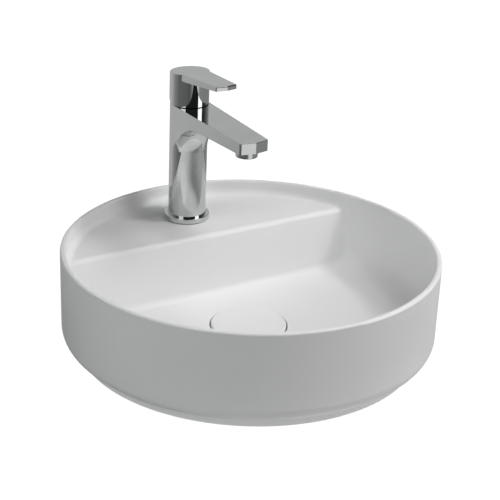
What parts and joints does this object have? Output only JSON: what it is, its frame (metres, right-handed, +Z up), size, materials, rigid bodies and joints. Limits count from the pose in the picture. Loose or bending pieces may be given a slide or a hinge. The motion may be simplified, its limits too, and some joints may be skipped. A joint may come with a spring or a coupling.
{
  "type": "countertop basin",
  "caption": "Round countertop basin with a flat tap ledge across its back, a single-lever tap with a slim flat spout, and a push waste under a round ceramic cover.",
  "frame": {"origin": "on the waste axis, in the plane of the counter that the basin's foot stands on", "axes": "+Z up along the waste axis, -Y towards the user and along the spout, +X to the user's right"},
  "size_m": [0.42, 0.42, 0.3593],
  "materials": {
    "ceramic": "satin white glaze",
    "chrome": "polished chrome plate",
    "brass": "turned",
    "steel": "bright",
    "rubber": "matte",
    "plastic": "moulded",
    "valve_ceramic": "lapped",
    "index": "gloss"
  },
  "bodies": {
    "basin": {"basin_wall": "ceramic", "basin_foot": "ceramic", "basin_heel": "ceramic", "basin_rear": "ceramic", "basin_floor": "ceramic", "basin_drain": "ceramic", "basin_step": "ceramic", "basin_ledge": "ceramic", "waste_body": "chrome", "waste_top_seal": "rubber", "waste_bottom_seal": "rubber", "waste_washer": "plastic", "waste_backnut": "brass", "plug_guide": "plastic", "plug_spring": "steel", "tap_body": "chrome", "tap_base_ring": "chrome", "tap_base_seal": "rubber", "aerator_housing": "chrome", "aerator_insert": "plastic", "aerator_seal": "rubber", "cartridge_base": "plastic", "port_seals": "rubber", "fixed_disc": "valve_ceramic", "cartridge_housing": "plastic", "cartridge_nut": "brass", "cartridge_dome": "chrome", "fixing_stud": "steel", "horseshoe_seal": "rubber", "horseshoe_plate": "steel", "fixing_nut": "brass"},
    "plug": {"plug_cover": "ceramic", "plug_carrier": "brass", "plug_seal": "rubber", "plug_stem": "brass"},
    "swivel": {"stem_carrier": "plastic", "carrier_pin": "steel"},
    "lever": {"lever_handle": "chrome", "lever_stem": "steel", "set_screw": "steel", "index_plug": "index"},
    "disc": {"disc_driver": "plastic", "moving_disc": "valve_ceramic"}
  },
  "joints": [
    {"name": "plug_slide", "type": "slide", "parent": "basin", "child": "plug", "axis": [0, 0, 1], "range_m": [-0.005, 0], "deforming": ["plug_spring"]},
    {"name": "lever_swivel", "type": "hinge", "parent": "basin", "child": "swivel", "pos_m": [0, 0.148, 0.236], "axis": [0, 0, 1], "range_deg": [-45, 45]},
    {"name": "lever_lift", "type": "hinge", "parent": "swivel", "child": "lever", "pos_m": [0, 0.148, 0.236], "axis": [-1, 0, 0], "range_deg": [0, 25]},
    {"name": "disc_slide", "type": "slide", "parent": "swivel", "child": "disc", "axis": [0, -1, 0], "range_m": [0, 0.0051]}
  ],
  "couplings": [
    {"joint": "disc_slide", "follows": "lever_lift", "m_per_rad": 0.01162}
  ]
}
